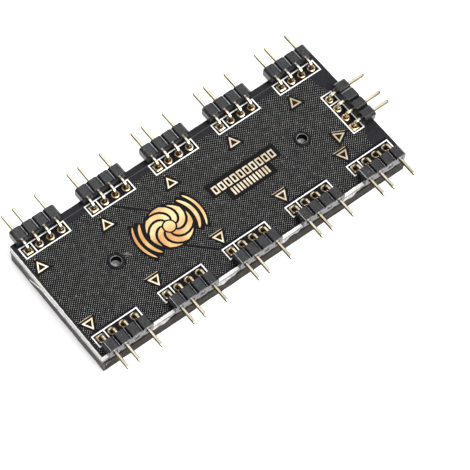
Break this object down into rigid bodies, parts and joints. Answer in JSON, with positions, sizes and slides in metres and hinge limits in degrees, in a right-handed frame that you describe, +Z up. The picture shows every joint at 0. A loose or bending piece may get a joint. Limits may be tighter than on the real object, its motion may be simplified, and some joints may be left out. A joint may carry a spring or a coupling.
{
  "type": "rgb fan hub",
  "caption": "Passive distribution board for fan lighting leads: right-angle pin headers along both long edges and one input header at an end, on a self-adhesive foam pad.",
  "frame": {"origin": "centre of the board's footprint on the underside of the foam pad, the face that sticks to a case panel; the pad stands 0.5 mm past the board's near edge", "axes": "+X along the board's long side towards the input header, +Y towards the far row of outputs, +Z up, out of the board's printed face"},
  "size_m": [0.0777, 0.0402, 0.0083],
  "materials": {
    "board": "black solder mask over a fine woven pattern, semi-gloss",
    "film": "pale adhesive film, slightly mottled",
    "foam": "fine closed-cell foam, matt",
    "header_plastic": "moulded black plastic, satin",
    "pin_gold": "thin gold plating, bright",
    "solder": "solder, bright and smooth"
  },
  "bodies": {
    "root": {"circuit_board": "board", "board_adhesive": "film", "foam_pad": "foam", "output_1_header": "header_plastic", "output_2_header": "header_plastic", "output_3_header": "header_plastic", "output_4_header": "header_plastic", "output_5_header": "header_plastic", "output_6_header": "header_plastic", "output_7_header": "header_plastic", "output_8_header": "header_plastic", "output_9_header": "header_plastic", "output_10_header": "header_plastic", "input_header": "header_plastic", "output_1_pins": "pin_gold", "output_2_pins": "pin_gold", "output_3_pins": "pin_gold", "output_4_pins": "pin_gold", "output_5_pins": "pin_gold", "output_6_pins": "pin_gold", "output_7_pins": "pin_gold", "output_8_pins": "pin_gold", "output_9_pins": "pin_gold", "output_10_pins": "pin_gold", "input_pins": "pin_gold", "output_1_solder": "solder", "output_2_solder": "solder", "output_3_solder": "solder", "output_4_solder": "solder", "output_5_solder": "solder", "output_6_solder": "solder", "output_7_solder": "solder", "output_8_solder": "solder", "output_9_solder": "solder", "output_10_solder": "solder", "input_solder": "solder"}
  },
  "joints": []
}
